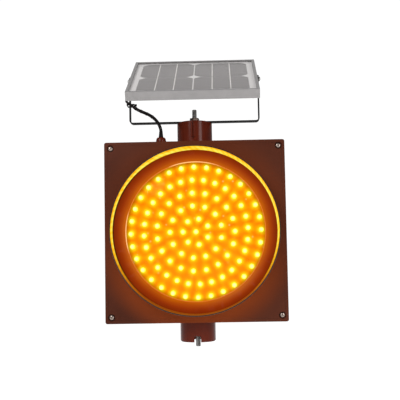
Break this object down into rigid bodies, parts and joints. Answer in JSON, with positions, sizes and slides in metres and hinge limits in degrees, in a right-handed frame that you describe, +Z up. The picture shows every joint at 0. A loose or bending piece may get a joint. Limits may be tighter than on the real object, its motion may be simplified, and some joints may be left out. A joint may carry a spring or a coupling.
{
  "type": "solar warning light",
  "caption": "Solar barricade warning light: round amber LED lamp with a visor in a square housing, under a tilting solar panel on a strap bracket.",
  "frame": {"origin": "on the clamping rod's axis, level with the lower rim of the bottom socket", "axes": "+Z up along the clamping rod; the lamp shines towards -Y; +X is to the right as seen from the front"},
  "size_m": [0.35, 0.2186, 0.6012],
  "materials": {
    "housing": "dark red-brown moulded plastic, satin",
    "socket": "dark red moulded plastic, satin",
    "black_plastic": "black moulded plastic, semi-gloss",
    "reflector_ring": "dark glossy plastic that mirrors the lamp",
    "lens": "clear domed polycarbonate",
    "rubber": "matt black",
    "white_plastic": "white moulded plastic",
    "circuit_board": "black solder mask",
    "green_board": "green solder mask",
    "electronics": "black and grey components",
    "terminal_green": "green moulded plastic",
    "led_amber": "lit amber LED resin",
    "steel": "bright zinc-plated steel",
    "zinc": "dull zinc-plated steel",
    "black_steel": "black powder coat",
    "aluminium": "clear anodised",
    "panel_glass": "low-iron solar glass",
    "cells": "dark silicon cells",
    "backsheet": "white backsheet",
    "battery_case": "dark grey plastic",
    "tinned": "tinned brass tabs",
    "red_wire": "red insulation",
    "yellow_wire": "yellow insulation",
    "nylon": "natural nylon",
    "red_rocker": "red rocker cap"
  },
  "bodies": {
    "housing": {"front_cover": "housing", "rear_case": "housing", "case_seal": "rubber", "cover_screws": "zinc", "visor": "reflector_ring", "bezel_ring": "reflector_ring", "lens": "lens", "lens_gasket": "rubber", "module_back": "white_plastic", "module_clips": "zinc", "clip_screws": "steel", "led_board": "circuit_board", "leds": "led_amber", "board_screws": "steel", "top_socket": "socket", "bottom_socket": "socket", "threaded_rod": "steel", "rod_sleeve": "zinc", "top_nut": "zinc", "top_washer": "zinc", "bottom_nut": "zinc", "bottom_washer": "zinc", "battery": "battery_case", "battery_terminals": "tinned", "battery_clamp": "zinc", "battery_screws": "steel", "controller_board": "green_board", "controller_parts": "electronics", "terminal_block": "terminal_green", "board_posts": "nylon", "controller_screws": "steel", "battery_wires": "red_wire", "led_wires": "yellow_wire", "panel_wires": "rubber", "switch_body": "black_plastic", "switch_blades": "tinned", "gland": "socket", "gland_nut": "black_plastic", "lead_lower": "rubber"},
    "bracket": {"bracket_strap": "black_steel", "lead_tie": "black_plastic", "lead_upper": "rubber"},
    "panel": {"pivot_bolts": "steel", "pivot_washers": "nylon", "pivot_nuts": "zinc", "frame_rail_front": "aluminium", "frame_rail_rear": "aluminium", "frame_rail_left": "aluminium", "frame_rail_right": "aluminium", "corner_keys": "aluminium", "panel_glass": "panel_glass", "solar_cells": "cells", "backsheet": "backsheet", "junction_box": "black_plastic", "junction_lid": "black_plastic", "junction_screws": "steel", "junction_gland": "rubber"},
    "rocker": {"power_rocker": "red_rocker"}
  },
  "joints": [
    {"name": "bracket_swivel", "type": "hinge", "parent": "housing", "child": "bracket", "pos_m": [0, 0, 0.43725], "axis": [0, 0, 1], "range_deg": [-10, 20], "deforming": ["lead_lower"]},
    {"name": "panel_tilt", "type": "hinge", "parent": "bracket", "child": "panel", "pos_m": [0, 0, 0.524], "axis": [1, 0, 0], "range_deg": [-28, 32], "deforming": ["lead_upper"]},
    {"name": "power_switch", "type": "hinge", "parent": "housing", "child": "rocker", "pos_m": [0.1, 0.0635, 0.3], "axis": [1, 0, 0], "range_deg": [-16, 0]}
  ]
}
